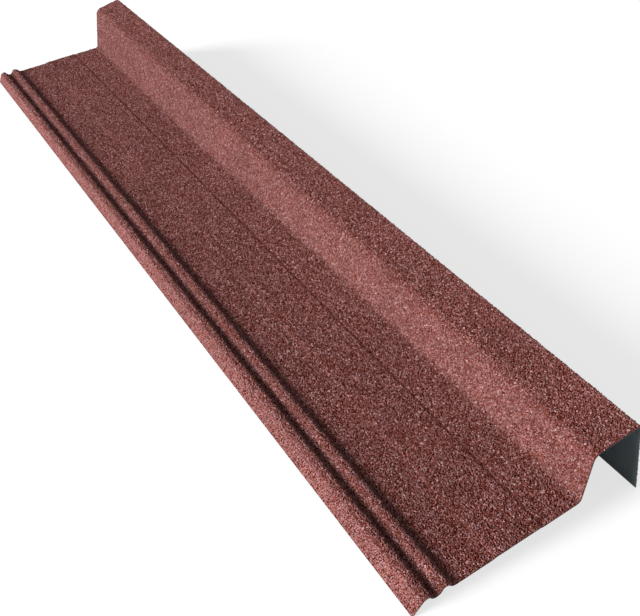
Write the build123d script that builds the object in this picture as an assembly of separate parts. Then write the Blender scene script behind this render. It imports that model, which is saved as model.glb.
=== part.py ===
from build123d import *
import math
import os

# Side flashing: one length of coated sheet, pressed and folded into a flat pan with a
# beaded, turned-down lip along one side and a raised hat with a cover leg along the other.
# Millimetres. The section lies in X and Z and runs along Y, and +Z is up.

# Sheet
length = 1250.0
sheet = 1.6                # steel with its coats and granules

# Lip and beads, along the left side
lip_run = 12.4             # first crest at the far end to the lip's cut edge
lip_drop = 8.0             # lip's cut edge below the pan
lip_radius = 7.7           # turn of the first bead into the lip
bead_height = 7.0          # crest above the pan
bead_pitch = 20.0          # crest to crest
bead_run = 11.6            # last crest to the start of the pan
bead_valley = 0.3          # valley between the beads, above the pan
bead_drift = 4.4           # beads at the near end, closer to the web

# Pan
pan_width = 148.2          # web's fold to the beads at the far end
step_inset = 45.5          # web's fold to the raised strip
step_width = 56.0          # raised strip
step_height = 0.9
step_run = 3.5            # width of each slope of the strip

# Hat, which is lower and wider at the near end, so that lengths lap
web_rise_near = 62.8
web_rise_far = 68.3
web_run_near = 6.8
web_run_far = 16.4
flange_width = 63.5        # web's fold to the outer fold at the near end
hat_height = 66.3          # outer fold above the pan at the near end
hat_climb = 10.2           # outer fold at the far end, further up the leg's plane
leg_depth = 109.9          # near outer fold to the leg's cut edge
leg_splay = 21.1           # leg's cut edge, outward from the near outer fold
leg_lead = 12.0            # near outer fold to the leg's even panel
pan_fold_setback = 3.8     # each fold's corner to where its bend begins
hat_fold_setback = 7.8
leg_fold_setback = 3.8


def swell(start, end):
    """Two like arcs, level at both ends, from one height to another."""
    middle = (start + end) / 2
    level = Vector(1, 0)
    rise = TangentArc(start, middle, tangent=level)
    return [rise, TangentArc(middle, end, tangent=rise % 1)]


def folded(corners, setbacks):
    """Straight runs through the corners, with an arc that begins one setback from each fold."""
    edges = []
    start = corners[0]
    for before, fold, after, setback in zip(corners, corners[1:], corners[2:], setbacks):
        bend_start = fold - (fold - before).normalized() * setback
        bend_end = fold + (after - fold).normalized() * setback
        run = Line(start, bend_start)
        edges += [run, TangentArc(bend_start, bend_end, tangent=run % 1)]
        start = bend_end
    return edges + [Line(start, corners[-1])]


near_outer_corner = Vector(flange_width, hat_height)
leg_edge = near_outer_corner + Vector(leg_splay, -leg_depth)
leg_up = (near_outer_corner - leg_edge).normalized()
far_outer_corner = near_outer_corner + leg_up * hat_climb
lip_edge = Vector(-pan_width - bead_run - bead_pitch - lip_run, -lip_drop)


def sheet_path(drift, hat_corner, outer_corner):
    """The sheet's upper face in section, from the lip's cut edge to the leg's cut edge."""
    pan_start = Vector(drift - pan_width, 0)
    second_crest = pan_start + Vector(-bead_run, bead_height)
    first_crest = second_crest - Vector(bead_pitch, 0)
    valley = Vector(second_crest.X - bead_pitch / 2, bead_valley)

    turn_centre = first_crest - Vector(0, lip_radius)
    to_centre = turn_centre - lip_edge
    slope = math.atan2(to_centre.Y, to_centre.X) + math.asin(lip_radius / to_centre.length)
    lip_turn = turn_centre + Vector(-math.sin(slope), math.cos(slope)) * lip_radius
    lip = Line(lip_edge, lip_turn)
    edges = [lip, TangentArc(lip_turn, first_crest, tangent=lip % 1)]
    edges += swell(first_crest, valley)
    edges += swell(valley, second_crest)
    edges += swell(second_crest, pan_start)

    strip_end = Vector(-step_inset, 0)
    strip_start = strip_end - Vector(step_width, 0)
    foot = Vector(step_run / 2, 0)
    lift = Vector(0, step_height)
    edges.append(Line(pan_start, strip_start - foot))
    edges += swell(strip_start - foot, strip_start + foot + lift)
    edges.append(Line(strip_start + foot + lift, strip_end - foot + lift))
    edges += swell(strip_end - foot + lift, strip_end + foot)

    # Below this point the leg is the same at both ends, so its panel is a true plane.
    panel_top = near_outer_corner - leg_up * leg_lead
    corners = [strip_end + foot, Vector(0, 0), hat_corner, outer_corner, panel_top]
    edges += folded(corners, [pan_fold_setback, hat_fold_setback, leg_fold_setback])
    edges.append(Line(panel_top, leg_edge))
    return Wire(edges)


def section(path):
    """The sheet's whole section: the upper face's path, thickened downwards."""
    return make_face(offset(path, sheet, side=Side.RIGHT))


def cut_edge_foot(path, share):
    """The lower corner of the sheet's cut edge at one end of the path."""
    along = path % share
    return path @ share + Vector(along.Y, -along.X) * sheet


near_path = sheet_path(bead_drift, Vector(web_run_near, web_rise_near), near_outer_corner)
far_path = sheet_path(0, Vector(web_run_far, web_rise_far), far_outer_corner)
near_end = Plane.XZ.offset(length / 2) * section(near_path)
far_end = Plane.XZ.offset(-length / 2) * section(far_path)
flashing = loft([near_end, far_end], ruled=True)

# The part lies on its lip and on its leg's cut edge, with the pan rising to the right.
span = cut_edge_foot(near_path, 1) - cut_edge_foot(near_path, 0)
roll = math.degrees(math.atan2(span.Y, span.X))
flashing = Rot(0, roll, 0) * flashing
box = flashing.bounding_box()
flashing = Pos(-box.center().X, -box.center().Y, -box.min.Z) * flashing

os.makedirs("parts", exist_ok=True)
export_step(flashing, "parts/side_flashing.step")
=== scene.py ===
# %% [markdown]
# # A granule-coated side flashing
# A long strip of steel, folded into a pan with two beads along its lip and a raised hat
# along its other side. Its upper face is covered with brown-red stone granules, its lower
# face has a smooth grey-blue coat. The CAD part gives the exact folded shape, and this
# script gives the coats: real stone chips above, paint below and layers at the cuts that are
# painted dark as shade.

import math
import random

import bmesh
import bpy
from mathutils import Euler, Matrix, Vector
from mathutils.bvhtree import BVHTree


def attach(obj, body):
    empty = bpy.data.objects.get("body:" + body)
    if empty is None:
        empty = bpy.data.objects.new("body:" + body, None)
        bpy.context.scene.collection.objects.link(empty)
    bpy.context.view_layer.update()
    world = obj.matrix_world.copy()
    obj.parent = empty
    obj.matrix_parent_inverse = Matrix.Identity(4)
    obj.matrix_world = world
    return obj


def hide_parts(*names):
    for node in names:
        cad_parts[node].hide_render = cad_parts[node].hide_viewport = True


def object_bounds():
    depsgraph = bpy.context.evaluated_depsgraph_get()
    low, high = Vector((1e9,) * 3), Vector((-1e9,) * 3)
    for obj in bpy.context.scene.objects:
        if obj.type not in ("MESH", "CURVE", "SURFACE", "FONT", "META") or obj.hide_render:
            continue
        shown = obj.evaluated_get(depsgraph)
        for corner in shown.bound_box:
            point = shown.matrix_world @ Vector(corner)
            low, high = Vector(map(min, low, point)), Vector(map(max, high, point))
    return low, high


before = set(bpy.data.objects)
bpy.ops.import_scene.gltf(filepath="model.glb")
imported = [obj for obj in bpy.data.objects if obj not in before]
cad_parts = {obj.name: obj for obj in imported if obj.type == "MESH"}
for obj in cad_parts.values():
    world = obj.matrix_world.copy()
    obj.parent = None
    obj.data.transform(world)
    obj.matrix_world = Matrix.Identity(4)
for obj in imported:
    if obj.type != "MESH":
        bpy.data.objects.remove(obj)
cad_low, cad_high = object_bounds()
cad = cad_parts["side_flashing"]
print("CAD box", [round(v, 4) for v in cad_high - cad_low], "m,", len(cad.data.polygons), "faces")

# %% [markdown]
# ## The sheet
# The sheet is a copy of the CAD solid, because the folded shape is already exact there. Its
# vertices are welded first, so that neighbouring faces share them. A face belongs to the upper
# side when it looks the same way as the pan, because the section never turns back over itself.

# %% Weld a copy and find its upper side
WELD = 1e-6               # vertices closer than this become one, metres
LEVEL = 0.97              # a level face's normal points up at least this much
ENDWAYS = 0.9             # a cut end's normal points along the length at least this much
UPPER = 0.01              # an upper face looks the pan's way by more than this


def is_end(face):
    return abs(face.normal.y) > ENDWAYS


sheet_mesh = bpy.data.meshes.new("coated_sheet")
bm = bmesh.new()
bm.from_mesh(cad.data)
ply = bm.verts.layers.float.new("ply")    # made first, because a new layer renews the vertices
bmesh.ops.remove_doubles(bm, verts=bm.verts, dist=WELD)
bm.normal_update()
level_faces = [f for f in bm.faces if f.normal.z > LEVEL]
pan_up = max(level_faces, key=lambda f: f.calc_area()).normal.copy()
upper = [f for f in bm.faces if f.normal.dot(pan_up) > UPPER and not is_end(f)]
upper_set = set(upper)
print("welded", len(bm.verts), "vertices,", len(upper), "upper faces, pan looks along",
      [round(v, 3) for v in pan_up])

# %% [markdown]
# ## Room for the stones
# The CAD solid is as thick as the finished sheet with its stones. The stones need room, so the
# upper side is sunk by the depth of their coat, and their tops come up to about the CAD surface
# again. Each vertex moves along the normals of its faces, weighted by their angles there, but
# never along the length, so the cut ends stay flat.

# %% Sink the upper side
STONE_BED = 0.00095       # depth of the stones in the coat, metres

sink = {}
for face in upper:
    for corner in face.loops:
        sink[corner.vert] = sink.get(corner.vert, Vector()) + face.normal * corner.calc_angle()
crown = {vert: vert.co.copy() for vert in sink}
for vert, normal in sink.items():
    normal.y = 0.0
    vert.co -= normal.normalized() * STONE_BED
print("sank", len(sink), "vertices by", STONE_BED * 1000, "mm")

# %% [markdown]
# ## Rims at the two cut ends
# A shear cuts straight through steel, resin and stones, so each end shows the coat as a thin
# rim, painted dark as shade. Along every upper edge of an end one small face goes part of the
# way up the coat and one goes back under the stones, which stand just behind it.

# %% Raise the rims
RIM_SHARE = 0.4           # height of the rim as a share of the coat
RIM_DEPTH = 0.0004        # how far it goes in from the end
rim = {}


def rim_points(vert):
    """Foot, top and inner top of the rim over one vertex of the bed's end."""
    if vert not in rim:
        top = vert.co.lerp(crown[vert], RIM_SHARE)
        inner = top - Vector((0, math.copysign(RIM_DEPTH, top.y), 0))
        rim[vert] = [bm.verts.new(point) for point in (vert.co, top, inner)]
    return rim[vert]


end_edges = [e for e in bm.edges
             if all(v in sink for v in e.verts) and any(is_end(f) for f in e.link_faces)]
for edge in end_edges:
    a, b = edge.verts
    (foot_a, top_a, inner_a), (foot_b, top_b, inner_b) = rim_points(a), rim_points(b)
    front = bm.faces.new((foot_a, foot_b, top_b, top_a))
    ledge = bm.faces.new((top_a, top_b, inner_b, inner_a))
    for face, outward in ((front, Vector((0, a.co.y, 0))), (ledge, crown[a] - a.co)):
        face.normal_update()
        if face.normal.dot(outward) < 0:
            face.normal_flip()
    upper_set.add(ledge)
print("rims over", len(end_edges), "edges")

# %% [markdown]
# ## Three surfaces on one sheet
# The sheet has a bed of resin that holds the stones, a smooth back coat and cut edges, and each
# gets a slot; bed and cut edges are painted dark as shade. A vertex value called `ply` is 0 on the
# lower side, 1 at the bed and 2 at the top of the rims, so on a cut it runs through the thickness
# and a ramp can show the layers there.

# %% Give each face its slot and each vertex its ply
BED_SLOT, BACK_SLOT, CUT_SLOT = range(3)
BACK_PLY, BED_PLY, RIM_PLY = 0.0, 1.0, 2.0
DOWNWARD = -0.5           # a cut edge that the part lies on looks down more than this
FLOOR_BAND = 0.0015       # and its middle lies lower than this, metres


def slot_of(face):
    if face in upper_set:
        return BED_SLOT
    low_cut = face.normal.dot(pan_up) < DOWNWARD and face.calc_center_median().z < FLOOR_BAND
    return CUT_SLOT if is_end(face) or low_cut else BACK_SLOT


for vert in bm.verts:
    vert[ply] = BED_PLY if vert in sink else BACK_PLY
for foot, *raised in rim.values():
    foot[ply] = BED_PLY
    for vert in raised:
        vert[ply] = RIM_PLY
for face in bm.faces:
    face.material_index = slot_of(face)
    face.smooth = True
print("faces in each slot", [sum(f.material_index == k for f in bm.faces) for k in range(3)])

# %% [markdown]
# ## Smooth bends between flat runs
# A folded sheet is round in its bends and flat between them. So each vertex gets a normal that is
# weighted by the area of its faces, or the narrow bends would tilt the wide flats. Faces of
# another slot or another end don't count, which keeps the cuts crisp.

# %% Weigh the normals and make the sheet
def side_of(face):
    return face.material_index, round(face.normal.y)


bm.verts.index_update()
bm.to_mesh(sheet_mesh)
weighted = {}
for face in bm.faces:
    for vert in face.verts:
        key = vert.index, side_of(face)
        weighted[key] = weighted.get(key, Vector()) + face.normal * face.calc_area()
sheet_mesh.normals_split_custom_set([weighted[vert.index, side_of(face)].normalized()
                                     for face in bm.faces for vert in face.verts])
sheet = bpy.data.objects.new("coated_sheet", sheet_mesh)
bpy.context.scene.collection.objects.link(sheet)
print("sheet has", len(sheet_mesh.polygons), "faces and", len(weighted), "weighted normals")

# %% [markdown]
# ## Regions for the stones
# The upper side is split into the forms that a hand would name: lip, beads, the pan and its raised
# strip with its press lines, the web, the top flange, the outer fold and the leg. Smaller regions
# keep every piece light, and each can have its own mix. A face is told by its place across the
# sheet and by the way it faces.

# %% Tell a face's region
LIP_END, BEADS_END = -0.1315, -0.094         # places across the sheet, metres
STRIP_START, STRIP_MIDDLE, STRIP_END = -0.0505, -0.02, 0.005
PRESS_LINES_END = 0.012
HAT_START, OUTER_FOLD_START = 0.035, 0.05
LEG_SPLIT = 0.055         # height at which the leg is split in two
LEG_FACING, FOLD_FACING, WEB_FACING = 0.93, 0.05, -0.6    # sideways part of the normals
PAN_FACING = 0.9999       # a face that looks the pan's way less than this is a press line


def region_of(face):
    place, normal = face.calc_center_median(), face.normal
    if normal.x > LEG_FACING:
        return "leg_high" if place.z > LEG_SPLIT else "leg_low"
    if normal.x > FOLD_FACING and place.x > OUTER_FOLD_START:
        return "outer_fold"
    if place.x > HAT_START:
        return "web" if normal.x < WEB_FACING else "flange"
    if place.x < BEADS_END:
        return "lip" if place.x < LIP_END else "beads"
    if place.x < PRESS_LINES_END and normal.dot(pan_up) < PAN_FACING:
        return "press_line_left" if place.x < STRIP_MIDDLE else "press_line_right"
    if place.x < STRIP_START:
        return "pan_left"
    return "pan_strip" if place.x < STRIP_END else "pan_right"


regions = {}
for face in upper:
    regions.setdefault(region_of(face), []).append(face)
print("areas m2", {name: round(sum(f.calc_area() for f in faces), 4) for name, faces in regions.items()})

# %% [markdown]
# ## Room at the edges
# A stone is wider than its centre point. Centres stay a little inside the two long cut edges, or
# stones would hang over them, and a little away from the dark press line, or they would hide it.
# So the vertices along these edges move inwards, at right angles to the edge.

# %% Keep stones off the edges
EDGE_MARGIN = 0.0010      # from the two long cut edges, metres
LINE_MARGIN = 0.0005      # from the dark press line


def margin_at(edge, inside):
    """How far stones keep from a long edge of a carrier."""
    beyond = [f for f in edge.link_faces if f not in inside]
    if len(beyond) != 1 or len(edge.link_faces) != 2 or is_end(beyond[0]):
        return 0.0
    if beyond[0] not in upper_set:
        return EDGE_MARGIN
    return LINE_MARGIN if region_of(beyond[0]) == "press_line_right" else 0.0


def inset(vert, inside):
    """Place of a vertex after it has moved in from an edge with a margin."""
    for edge in vert.link_edges:
        margin = margin_at(edge, inside)
        if margin:
            face = next(f for f in edge.link_faces if f in inside)
            inward = face.normal.cross((edge.other_vert(vert).co - vert.co).normalized())
            into = face.calc_center_median() - vert.co
            return vert.co + inward * math.copysign(margin, inward.dot(into))
    return vert.co


print("stones stay", EDGE_MARGIN * 1000, "mm inside the long cut edges")

# %% [markdown]
# ## Carriers
# Each region becomes a carrier, a mesh that only says where stones go. The whole bed is also kept
# as a search tree, to ask later how deep a stone sits in it.

# %% Split the upper side into carriers
def carrier(name, faces):
    verts = {}
    corners = [[verts.setdefault(v, len(verts)) for v in f.verts] for f in faces]
    inside = set(faces)
    mesh = bpy.data.meshes.new("carrier_" + name)
    mesh.from_pydata([inset(v, inside) for v in verts], [], corners)
    mesh.shade_flat()
    obj = bpy.data.objects.new("carrier_" + name, mesh)
    bpy.context.scene.collection.objects.link(obj)
    return obj


carriers = {name: carrier(name, faces) for name, faces in regions.items()}
bed_surface = BVHTree.FromPolygons([v.co.copy() for v in bm.verts],
                                   [[v.index for v in f.verts] for f in upper])
bm.free()
print("carriers", sorted(carriers))

# %% [markdown]
# ## Node helpers
# Both materials and geometry trees are built from nodes. Small functions keep that readable:
# one adds a node with its settings and values, one joins sockets, one starts a material and one
# makes a colour ramp from its stops.

# %% Helpers for node trees
def add(tree, kind, values=None, **settings):
    node = tree.nodes.new(kind)
    for key, value in settings.items():
        setattr(node, key, value)
    for key, value in (values or {}).items():
        node.inputs[key].default_value = value
    return node


def join(tree, *pairs):
    for out, into in pairs:
        tree.links.new(out, into)


def new_material(name):
    material = bpy.data.materials.new(name)
    material.use_nodes = True
    return material, material.node_tree, material.node_tree.nodes["Principled BSDF"]


def ramp(tree, stops):
    node = add(tree, "ShaderNodeValToRGB")
    band = node.color_ramp
    while len(band.elements) < len(stops):
        band.elements.new(0.5)
    for element, (place, colour) in zip(band.elements, stops):
        element.position = place
        element.color = (*colour, 1.0)
    return node


print("helpers", [helper.__name__ for helper in (add, join, new_material, ramp)])

# %% [markdown]
# ## Stone finish
# Every stone carries one random number, `tone`, which a ramp turns into one of the fired
# colours of the mix, from dark maroon to pale pink-brown. A second number, `lift`, is 0 at a
# stone's foot and 1 at its top, and a ramp on it paints each stone darker and redder towards its
# foot: painted shade in the pits between stones, partly the red resin the feet sit in. A fine noise
# breaks up each stone, and a slow one lets the mix drift a little along the sheet as in a real coat.

# %% Material of the stones
NOISE_BAND = {"From Min": 0.3, "From Max": 0.7}    # where most values of a noise lie

stone, tree, bsdf = new_material("stone_granules")
tone = add(tree, "ShaderNodeAttribute", attribute_name="tone", attribute_type="GEOMETRY")
mix_colours = ramp(tree, [(0.0, (0.138, 0.042, 0.033)), (0.30, (0.190, 0.077, 0.069)),
                          (0.70, (0.260, 0.128, 0.126)), (0.93, (0.345, 0.194, 0.195)),
                          (1.0, (0.465, 0.318, 0.332))])
lift = add(tree, "ShaderNodeAttribute", attribute_name="lift", attribute_type="GEOMETRY")
# painted shade: each stone darker and redder towards its foot, partly the resin it sits in
foot_shade_ramp = ramp(tree, [(0.0, (0.70, 0.25, 0.14)), (1.0, (1.0, 1.0, 1.0))])
foot_shaded = add(tree, "ShaderNodeVectorMath", operation="MULTIPLY")
place = add(tree, "ShaderNodeTexCoord")
grit = add(tree, "ShaderNodeTexNoise", {"Scale": 1900.0, "Detail": 3.0, "Roughness": 0.6})
drift = add(tree, "ShaderNodeTexNoise", {"Scale": 14.0, "Detail": 3.0, "Roughness": 0.55})
grit_range = add(tree, "ShaderNodeMapRange", {**NOISE_BAND, "To Min": 0.75, "To Max": 1.25})
drift_range = add(tree, "ShaderNodeMapRange", {**NOISE_BAND, "To Min": 0.92, "To Max": 1.08})
both = add(tree, "ShaderNodeMath", operation="MULTIPLY")
shade = add(tree, "ShaderNodeVectorMath", operation="SCALE")
bump = add(tree, "ShaderNodeBump", {"Strength": 0.5, "Distance": 0.0002})
bsdf.inputs["Roughness"].default_value = 0.85
bsdf.inputs["Specular IOR Level"].default_value = 0.05
join(tree, (place.outputs["Object"], grit.inputs["Vector"]),
     (place.outputs["Object"], drift.inputs["Vector"]),
     (tone.outputs["Fac"], mix_colours.inputs["Fac"]), (lift.outputs["Fac"], foot_shade_ramp.inputs["Fac"]),
     (mix_colours.outputs["Color"], foot_shaded.inputs[0]), (foot_shade_ramp.outputs["Color"], foot_shaded.inputs[1]),
     (grit.outputs["Fac"], grit_range.inputs["Value"]),
     (drift.outputs["Fac"], drift_range.inputs["Value"]),
     (grit_range.outputs["Result"], both.inputs[0]), (drift_range.outputs["Result"], both.inputs[1]),
     (foot_shaded.outputs["Vector"], shade.inputs[0]), (both.outputs["Value"], shade.inputs["Scale"]),
     (shade.outputs["Vector"], bsdf.inputs["Base Color"]),
     (grit.outputs["Fac"], bump.inputs["Height"]), (bump.outputs["Normal"], bsdf.inputs["Normal"]))
print("stone material:", len(tree.nodes), "nodes")

# %% [markdown]
# ## Resin bed
# Between the stones the resin shows in the pits. Its colours are darker than the resin's own, as
# painted shade for the pits, and a cell texture gives the dust in it its grain and a little relief.

# %% Material of the resin bed
bed, tree, bsdf = new_material("resin_bed_painted_shade")
place = add(tree, "ShaderNodeTexCoord")
cells = add(tree, "ShaderNodeTexVoronoi", {"Scale": 1400.0}, feature="F1")
# painted shade: the bed is darker than the resin's own colour, to darken the pits between stones
colours = ramp(tree, [(0.0, (0.100, 0.023, 0.016)), (0.5, (0.066, 0.014, 0.009)),
                      (1.0, (0.035, 0.007, 0.004))])
bump = add(tree, "ShaderNodeBump", {"Strength": 0.6, "Distance": 0.0003}, invert=True)
bsdf.inputs["Roughness"].default_value = 0.9
bsdf.inputs["Specular IOR Level"].default_value = 0.02
join(tree, (place.outputs["Object"], cells.inputs["Vector"]),
     (cells.outputs["Distance"], colours.inputs["Fac"]),
     (colours.outputs["Color"], bsdf.inputs["Base Color"]),
     (cells.outputs["Distance"], bump.inputs["Height"]), (bump.outputs["Normal"], bsdf.inputs["Normal"]))
print("resin material:", len(tree.nodes), "nodes")

# %% [markdown]
# ## Back coat
# The lower face is coil-coated in a dark grey-blue. Coil coating leaves faint streaks along
# the roll, so the noise is stretched along the length, and handling leaves soft clouds.

# %% Material of the back coat
STREAK_SHARE = 0.5        # strength of the streaks beside the clouds

back, tree, bsdf = new_material("back_coat")
place = add(tree, "ShaderNodeTexCoord")
stretch = add(tree, "ShaderNodeMapping", {"Scale": (1.0, 0.03, 1.0)})
streaks = add(tree, "ShaderNodeTexNoise", {"Scale": 260.0, "Detail": 4.0, "Roughness": 0.6})
clouds = add(tree, "ShaderNodeTexNoise", {"Scale": 18.0, "Detail": 4.0, "Roughness": 0.5})
total = add(tree, "ShaderNodeMath", operation="MULTIPLY_ADD")
total.inputs[1].default_value = STREAK_SHARE
colours = ramp(tree, [(0.5, (0.066, 0.082, 0.090)), (1.0, (0.090, 0.110, 0.119))])
gloss = add(tree, "ShaderNodeMapRange",
            {"From Min": 0.4, "From Max": 1.1, "To Min": 0.42, "To Max": 0.58})
bsdf.inputs["Specular IOR Level"].default_value = 0.35
join(tree, (place.outputs["Object"], stretch.inputs["Vector"]),
     (stretch.outputs["Vector"], streaks.inputs["Vector"]),
     (place.outputs["Object"], clouds.inputs["Vector"]),
     (streaks.outputs["Fac"], total.inputs[0]), (clouds.outputs["Fac"], total.inputs[2]),
     (total.outputs["Value"], colours.inputs["Fac"]),
     (colours.outputs["Color"], bsdf.inputs["Base Color"]),
     (total.outputs["Value"], gloss.inputs["Value"]),
     (gloss.outputs["Result"], bsdf.inputs["Roughness"]))
print("back coat material:", len(tree.nodes), "nodes")

# %% [markdown]
# ## Cut edge
# A cut shows the layers: back coat, a faint line of zinc and steel, then the resin. All of them
# are painted far darker than their own colours, as painted shade on the cut ends. The `ply` value
# runs through the thickness there, so a ramp places the layers, and a noise frays their borders
# as a shear does.

# %% Material of the cut edges
PLY_TO_RAMP = 1.0 / RIM_PLY    # ply runs up to the rim's value, a ramp up to 1

cut, tree, bsdf = new_material("cut_edge")
layer = add(tree, "ShaderNodeAttribute", attribute_name="ply", attribute_type="GEOMETRY")
place = add(tree, "ShaderNodeTexCoord")
fray = add(tree, "ShaderNodeTexNoise", {"Scale": 420.0, "Detail": 4.0, "Roughness": 0.65})
fray_range = add(tree, "ShaderNodeMapRange", {"To Min": -0.10, "To Max": 0.10})
total = add(tree, "ShaderNodeMath", operation="MULTIPLY_ADD")
total.inputs[1].default_value = PLY_TO_RAMP
# painted shade: each layer of the cut is far darker than its own colour
colours = ramp(tree, [(0.0, (0.022, 0.027, 0.030)), (0.08, (0.028, 0.032, 0.034)),
                      (0.14, (0.052, 0.053, 0.053)), (0.20, (0.042, 0.038, 0.036)),
                      (0.27, (0.026, 0.014, 0.012)), (0.6, (0.016, 0.008, 0.007)),
                      (1.0, (0.060, 0.021, 0.017))])
bsdf.inputs["Roughness"].default_value = 0.55
join(tree, (place.outputs["Object"], fray.inputs["Vector"]),
     (fray.outputs["Fac"], fray_range.inputs["Value"]),
     (layer.outputs["Fac"], total.inputs[0]), (fray_range.outputs["Result"], total.inputs[2]),
     (total.outputs["Value"], colours.inputs["Fac"]),
     (colours.outputs["Color"], bsdf.inputs["Base Color"]))
for material in (bed, back, cut):
    sheet_mesh.materials.append(material)
print("sheet slots", [m.name for m in sheet_mesh.materials])

# %% [markdown]
# ## Stone chips
# Crushed stone breaks into blunt, angular pieces with steep sides. Three kinds are enough: a
# wedge with a short ridge, a block with a three-cornered top, and a plain pyramid. They have no
# underside, because that is buried. Each is about one unit wide, and the tree scales it.

# %% Make the chips
KINDS = ("wedge", "block", "wedge", "pyramid", "block", "wedge")
REACH = {"block": (0.60, 0.74), "wedge": (0.48, 0.62), "pyramid": (0.48, 0.62)}    # middle to foot
CORNER_SHIFT = 0.2        # of a foot's corner round the chip, as a share of a side
HEIGHT = (0.36, 0.54)     # of a chip's top over the bed
BLOCK_TOP = (0.45, 0.62)  # corners of a block's top, as a share of its foot
RIDGE_END = 0.3           # ends of a wedge's ridge, as a share of two foot corners' sum
OFF_MIDDLE = 0.15         # of a pyramid's tip
BURIED = 0.04             # depth of the foot below the bed
CHIP_SEED = 7


def chip(kind, dice):
    """One chip: a ring of foot corners, then the corners of its top."""
    sides = 3 if kind == "block" else 4
    spin = dice.uniform(0, math.tau)
    foot = []
    for k in range(sides):
        a = spin + math.tau * (k + dice.uniform(-CORNER_SHIFT, CORNER_SHIFT)) / sides
        foot.append(Vector((math.cos(a), math.sin(a), 0)) * dice.uniform(*REACH[kind]))

    def peak(point):
        return Vector((point.x, point.y, dice.uniform(*HEIGHT)))

    if kind == "block":
        top = [peak(p * dice.uniform(*BLOCK_TOP)) for p in foot]
        faces = [(0, 1, 4, 3), (1, 2, 5, 4), (2, 0, 3, 5), (3, 4, 5)]
    elif kind == "wedge":
        top = [peak((foot[0] + foot[1]) * RIDGE_END), peak((foot[2] + foot[3]) * RIDGE_END)]
        faces = [(0, 1, 4), (1, 2, 5, 4), (2, 3, 5), (3, 0, 4, 5)]
    else:
        x, y = (dice.uniform(-OFF_MIDDLE, OFF_MIDDLE) for _ in range(2))
        top = [peak(Vector((x, y, 0)))]
        faces = [(k, (k + 1) % 4, 4) for k in range(4)]
    mesh = bpy.data.meshes.new("chip_" + kind)
    mesh.from_pydata([p - Vector((0, 0, BURIED)) for p in foot] + top, [], faces)
    lifts = mesh.attributes.new("lift", "FLOAT", "POINT")
    lifts.data.foreach_set("value", [0.0] * sides + [1.0] * len(top))
    return mesh


dice = random.Random(CHIP_SEED)
chips = bpy.data.collections.new("stone_chips")
for index, kind in enumerate(KINDS):
    chips.objects.link(bpy.data.objects.new(f"chip_{index}_{kind}", chip(kind, dice)))

# %% [markdown]
# ## The stone-coat tree
# A maker drops graded stone onto wet resin. One Geometry Nodes tree does the same for any carrier.
# Its named inputs let each region have its own seed, spacing and mix.

# %% Name the tree's inputs
INPUTS = {"Carrier": "Geometry", "Spacing": "Float", "Density": "Float", "Stone Size": "Float",
          "Relief": "Float", "Darkest": "Float", "Palest": "Float", "Seed": "Int",
          "Low Corner": "Vector", "High Corner": "Vector", "Chips": "Collection",
          "Finish": "Material"}

coat = bpy.data.node_groups.new("stone_coat", "GeometryNodeTree")
for name, kind in INPUTS.items():
    coat.interface.new_socket(name, in_out="INPUT", socket_type="NodeSocket" + kind)
coat.interface.new_socket("Stones", in_out="OUTPUT", socket_type="NodeSocketGeometry")
sockets = {s.name: s.identifier for s in coat.interface.items_tree if s.in_out == "INPUT"}
print("inputs", sockets)

# %% [markdown]
# ## Scatter and stand
# Points are scattered that keep a least distance, as stones lying side by side do. A chip from the
# collection stands on each point along the surface normal.

# %% Scatter points and stand chips on them
source = add(coat, "NodeGroupInput").outputs
scatter = add(coat, "GeometryNodeDistributePointsOnFaces", distribute_method="POISSON",
              use_legacy_normal=False)
info = add(coat, "GeometryNodeCollectionInfo", {"Separate Children": True, "Reset Children": True})
stand = add(coat, "GeometryNodeInstanceOnPoints", {"Pick Instance": True})
join(coat, (source["Carrier"], scatter.inputs["Mesh"]),
     (source["Spacing"], scatter.inputs["Distance Min"]),
     (source["Density"], scatter.inputs["Density Max"]), (source["Seed"], scatter.inputs["Seed"]),
     (source["Chips"], info.inputs["Collection"]), (scatter.outputs["Points"], stand.inputs["Points"]),
     (info.outputs["Instances"], stand.inputs["Instance"]))
print("scatter:", scatter.distribute_method.lower(), "points,", len(coat.nodes), "nodes so far")

# %% [markdown]
# ## Turn and size
# No two stones lie alike. Each is spun right round, tilted a little and stretched by chance, and
# its height also follows the region's relief.

# %% Turn and size the chips
TILT = 0.12               # radians, either way
SMALLEST, LARGEST = (0.75, 0.75, 0.50), (1.25, 1.25, 1.05)    # times the stone size

spin = add(coat, "FunctionNodeRandomValue", data_type="FLOAT_VECTOR")
spin.inputs[0].default_value = (-TILT, -TILT, 0.0)
spin.inputs[1].default_value = (TILT, TILT, math.tau)
to_turn = add(coat, "FunctionNodeEulerToRotation")
turn = add(coat, "FunctionNodeRotateRotation", rotation_space="LOCAL")
spread = add(coat, "FunctionNodeRandomValue", data_type="FLOAT_VECTOR")
spread.inputs[0].default_value = SMALLEST
spread.inputs[1].default_value = LARGEST
size = add(coat, "ShaderNodeVectorMath", operation="SCALE")
press = add(coat, "ShaderNodeCombineXYZ", {"X": 1.0, "Y": 1.0})
pressed = add(coat, "ShaderNodeVectorMath", operation="MULTIPLY")
join(coat, (source["Seed"], spin.inputs["Seed"]), (spin.outputs[0], to_turn.inputs["Euler"]),
     (scatter.outputs["Rotation"], turn.inputs["Rotation"]),
     (to_turn.outputs["Rotation"], turn.inputs["Rotate By"]),
     (turn.outputs["Rotation"], stand.inputs["Rotation"]),
     (source["Seed"], spread.inputs["Seed"]), (spread.outputs[0], size.inputs[0]),
     (source["Stone Size"], size.inputs["Scale"]), (source["Relief"], press.inputs["Z"]),
     (size.outputs["Vector"], pressed.inputs[0]), (press.outputs["Vector"], pressed.inputs[1]),
     (pressed.outputs["Vector"], stand.inputs["Scale"]))
print("tilt up to", round(math.degrees(TILT), 1), "degrees")

# %% [markdown]
# ## Tone, cut and finish
# Each stone gets its `tone` between the region's darkest and palest. Then the chips are made real
# and held inside a box, as the shear cuts stones off at the ends, and get their finish.

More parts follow.
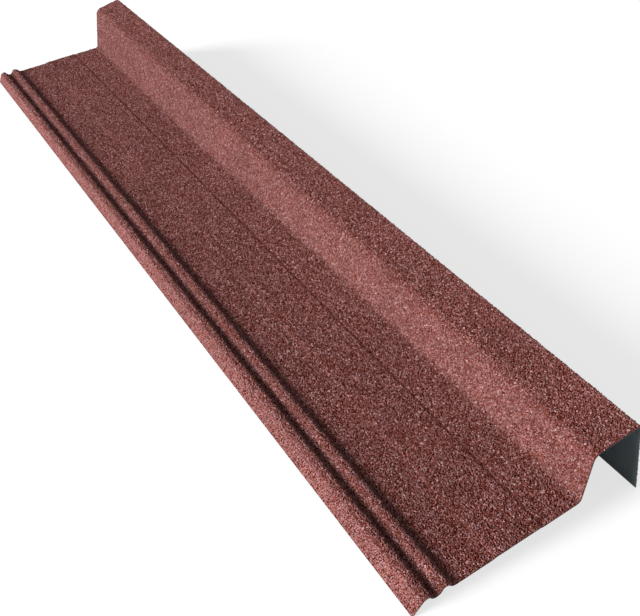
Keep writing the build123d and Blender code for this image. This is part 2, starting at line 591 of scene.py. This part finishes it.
# %% Give the chips their tone, hold them and finish them
tone_value = add(coat, "FunctionNodeRandomValue", data_type="FLOAT")
keep_tone = add(coat, "GeometryNodeStoreNamedAttribute", {"Name": "tone"}, data_type="FLOAT",
                domain="INSTANCE")
real = add(coat, "GeometryNodeRealizeInstances")
where = add(coat, "GeometryNodeInputPosition")
not_under = add(coat, "ShaderNodeVectorMath", operation="MAXIMUM")
not_over = add(coat, "ShaderNodeVectorMath", operation="MINIMUM")
hold = add(coat, "GeometryNodeSetPosition")
finish = add(coat, "GeometryNodeSetMaterial")
result = add(coat, "NodeGroupOutput")
join(coat, (source["Seed"], tone_value.inputs["Seed"]), (source["Darkest"], tone_value.inputs[2]),
     (source["Palest"], tone_value.inputs[3]), (tone_value.outputs[1], keep_tone.inputs["Value"]),
     (stand.outputs["Instances"], keep_tone.inputs["Geometry"]),
     (keep_tone.outputs["Geometry"], real.inputs["Geometry"]),
     (where.outputs["Position"], not_under.inputs[0]), (source["Low Corner"], not_under.inputs[1]),
     (not_under.outputs["Vector"], not_over.inputs[0]), (source["High Corner"], not_over.inputs[1]),
     (real.outputs["Geometry"], hold.inputs["Geometry"]),
     (not_over.outputs["Vector"], hold.inputs["Position"]),
     (hold.outputs["Geometry"], finish.inputs["Geometry"]),
     (source["Finish"], finish.inputs["Material"]),
     (finish.outputs["Geometry"], result.inputs["Stones"]))
print("stone_coat tree:", len(coat.nodes), "nodes")

# %% [markdown]
# ## The mix of each region
# The coat isn't the same everywhere. Lip, beads and web, which face the key, get paler stones as
# painted light, so the darkest stones are left out there, and the lip loses its palest ones too.
# The dark press line gets darker stones as painted shade. In the press lines and on the lip the
# rolls have pressed the stones lower.

# %% Name the mix
STONE_SPACING = 0.00138   # least distance between two stones, metres
CROWDING = 2.4            # points tried on each square of that distance
STONE_SIZE = 0.00260      # width of a middling stone
# painted light: lip, beads and web, which face the key, get only paler stones
DARKEST_FOR_PAINTED_LIGHT = {"lip": 0.60, "beads": 0.30, "web": 0.26}    # tone of the darkest stones, elsewhere 0
# painted shade: the dark press line gets no pale stones, and the lip's tone range is capped too
PALEST_FOR_PAINTED_LIGHT_AND_SHADE = {"lip": 0.95, "press_line_right": 0.7}        # and of the palest, elsewhere 1
RELIEF = {"lip": 0.65, "press_line_left": 1.0, "press_line_right": 0.72}
FULL_RELIEF = 1.3         # where nothing has pressed the stones
BEHIND_RIM = 0.25         # how far stones stay behind a cut end, as a share of the rim's depth

spacing = STONE_SPACING * 1.0
behind_rim = Vector((0, BEHIND_RIM * RIM_DEPTH, 0))


def inputs_for(name, seed):
    """The tree's inputs for one region."""
    return {"Spacing": spacing, "Density": CROWDING / spacing ** 2, "Stone Size": STONE_SIZE,
            "Relief": RELIEF.get(name, FULL_RELIEF), "Darkest": DARKEST_FOR_PAINTED_LIGHT.get(name, 0.0),
            "Palest": PALEST_FOR_PAINTED_LIGHT_AND_SHADE.get(name, 1.0), "Seed": seed, "Low Corner": cad_low + behind_rim,
            "High Corner": cad_high - behind_rim, "Chips": chips, "Finish": stone}


print("spacing", round(spacing * 1000, 2), "mm")

# %% [markdown]
# ## Coat every region
# The inputs are set on the modifier by socket identifier before anything is evaluated. The
# result is baked to a plain mesh, and carrier and modifier go, so what is left is stones. In the
# hollow of a fold a wide stone could reach through the thin steel, so its deepest corners are
# lifted along the bed's normal.

# %% Run the tree on each carrier
DEEPEST = 0.0004          # how far a stone may reach into the bed, metres
FIRST_SEED = 11


def seat(mesh):
    """Lifts corners that sit too deep, and returns how many."""
    lifted = 0
    for vert in mesh.vertices:
        point, normal, _, _ = bed_surface.find_nearest(vert.co)
        depth = normal.dot(point - vert.co)
        if depth > DEEPEST:
            vert.co += normal * (depth - DEEPEST)
            lifted += 1
    return lifted


def coat_region(name, seed):
    """Coats one carrier and leaves only its stones, as a plain mesh."""
    base = carriers[name]
    mod = base.modifiers.new("stone_coat", "NODES")
    mod.node_group = coat
    for key, value in inputs_for(name, seed).items():
        mod[sockets[key]] = value
    base.update_tag()
    depsgraph = bpy.context.evaluated_depsgraph_get()
    mesh = bpy.data.meshes.new_from_object(base.evaluated_get(depsgraph), depsgraph=depsgraph)
    mesh.name = "stones_" + name
    base.modifiers.remove(mod)
    bpy.data.objects.remove(base)
    obj = bpy.data.objects.new("stones_" + name, mesh)
    bpy.context.scene.collection.objects.link(obj)
    lifted = seat(mesh)
    mesh.calc_loop_triangles()
    print(name, len(mesh.loop_triangles), "triangles,", lifted, "corners lifted")
    return obj


stones = [coat_region(name, FIRST_SEED + k) for k, name in enumerate(sorted(carriers))]

# %% [markdown]
# ## Join the pieces to the part
# The sheet stands for the CAD node, which is then hidden, and the stones ride on the same
# body.

# %% Ride and replace
pieces = [sheet] + stones
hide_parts("side_flashing")
for piece in pieces:
    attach(piece, "root")
print("pieces", [p.name for p in pieces])

# %% [markdown]
# ## Floor
# A wide pale floor carries the shadow. The camera sees it with a glow of its own and only a share
# of its colour, so the ground comes out white and the shadow on it stays faint. The part gets only
# the light that plain pale paint throws back.

# %% Make the floor
FLOOR_SIZE = 80.0         # metres
FLOOR_DROP = 0.0002       # below the part, so that they don't share a plane
FLOOR_GLOW = 0.70         # as the camera sees it
CAMERA_SHARE = 0.4        # of the floor's colour that the camera sees under the glow

bpy.ops.mesh.primitive_plane_add(size=FLOOR_SIZE, location=(0, 0, -FLOOR_DROP))
floor = bpy.context.object
floor.name = "floor"
pale, tree, bsdf = new_material("pale_floor")
place = add(tree, "ShaderNodeTexCoord")
mottle = add(tree, "ShaderNodeTexNoise", {"Scale": 3.0, "Detail": 3.0})
colours = ramp(tree, [(0.3, (0.93, 0.93, 0.93)), (0.7, (0.95, 0.95, 0.95))])
bsdf.inputs["Roughness"].default_value = 0.95
bsdf.inputs["Specular IOR Level"].default_value = 0.0
bsdf.inputs["Emission Color"].default_value = (1.0, 1.0, 1.0, 1.0)
ray = add(tree, "ShaderNodeLightPath")
glow = add(tree, "ShaderNodeMath", operation="MULTIPLY")
glow.inputs[1].default_value = FLOOR_GLOW
dim = add(tree, "ShaderNodeMapRange", {"To Min": 1.0, "To Max": CAMERA_SHARE})
share = add(tree, "ShaderNodeVectorMath", operation="SCALE")
join(tree, (ray.outputs["Is Camera Ray"], glow.inputs[0]),
     (glow.outputs["Value"], bsdf.inputs["Emission Strength"]),
     (ray.outputs["Is Camera Ray"], dim.inputs["Value"]), (dim.outputs["Result"], share.inputs["Scale"]),
     (place.outputs["Object"], mottle.inputs["Vector"]), (mottle.outputs["Fac"], colours.inputs["Fac"]),
     (colours.outputs["Color"], share.inputs[0]), (share.outputs["Vector"], bsdf.inputs["Base Color"]))
floor.data.materials.append(pale)
print("floor", FLOOR_SIZE, "m wide,", len(tree.nodes), "nodes")

# %% [markdown]
# ## Suns
# The key is a broad sun, low on the left: it brightens the lip and the web, grazes the pan so that
# each stone shades the next, and leaves the right side of the beads dark. Two weak and very wide
# suns give the near end and the leg their shape.

# %% Set the suns
# azimuth and elevation in degrees, strength, width in degrees
SUNS = {"key": (-96, 20, 5.75, 22), "front": (-42, 8, 0.7, 70), "rear": (112, 12, 0.6, 60)}


def sun(name, azimuth, elevation, strength, width):
    lamp = bpy.data.lights.new(name, "SUN")
    lamp.energy, lamp.angle = strength, math.radians(width)
    obj = bpy.data.objects.new(name, lamp)
    obj.rotation_euler = Euler((math.radians(90 - elevation), 0, math.radians(azimuth)), "XYZ")
    bpy.context.scene.collection.objects.link(obj)


for name, settings in SUNS.items():
    sun(name, *settings)
print("suns", SUNS)

# %% [markdown]
# ## World
# A soft, even world fills the shadows a little. The camera and mirror-like rays see it as white,
# so the ground has no horizon.

# %% Set the world
WORLD_FILL = 0.18

world = bpy.data.worlds.new("studio")
bpy.context.scene.world = world
world.use_nodes = True
tree = world.node_tree
tree.nodes.clear()
fill = add(tree, "ShaderNodeBackground", {"Color": (1.0, 1.0, 1.0, 1.0), "Strength": WORLD_FILL})
white = add(tree, "ShaderNodeBackground", {"Color": (1.0, 1.0, 1.0, 1.0), "Strength": 1.0})
path = add(tree, "ShaderNodeLightPath")
bright = add(tree, "ShaderNodeMath", operation="MAXIMUM")
seen = add(tree, "ShaderNodeMath", operation="MAXIMUM")
pick = add(tree, "ShaderNodeMixShader")
out = add(tree, "ShaderNodeOutputWorld")
join(tree, (path.outputs["Is Glossy Ray"], bright.inputs[0]),
     (path.outputs["Is Transmission Ray"], bright.inputs[1]),
     (path.outputs["Is Camera Ray"], seen.inputs[0]), (bright.outputs["Value"], seen.inputs[1]),
     (seen.outputs["Value"], pick.inputs["Fac"]), (fill.outputs["Background"], pick.inputs[1]),
     (white.outputs["Background"], pick.inputs[2]), (pick.outputs["Shader"], out.inputs["Surface"]))
print("world fill", WORLD_FILL)

# %% [markdown]
# ## Camera
# The photo is taken from the left of the near end, looking down about 38 degrees. Place,
# turn and lens come from the perspective of the photo's long and short edges.

# %% Camera
FOCAL_LENGTH, SENSOR = 47.061, 36.0          # millimetres
CAMERA_PLACE = (-0.433149, -0.905968, 0.641979)
CAMERA_TURN = (51.7563, -2.0099, -32.0164)   # degrees
NEAREST = 0.01            # what is closer than this isn't drawn, metres

lens = bpy.data.cameras.new("camera")
lens.sensor_fit = "HORIZONTAL"
lens.sensor_width = SENSOR
lens.lens = FOCAL_LENGTH
lens.clip_start = NEAREST
camera = bpy.data.objects.new("camera", lens)
camera.location = CAMERA_PLACE
camera.rotation_euler = Euler([math.radians(a) for a in CAMERA_TURN], "XYZ")
bpy.context.scene.collection.objects.link(camera)
bpy.context.scene.camera = camera
bpy.context.scene.view_settings.view_transform = "Standard"
print("camera at", [round(v, 3) for v in camera.location])
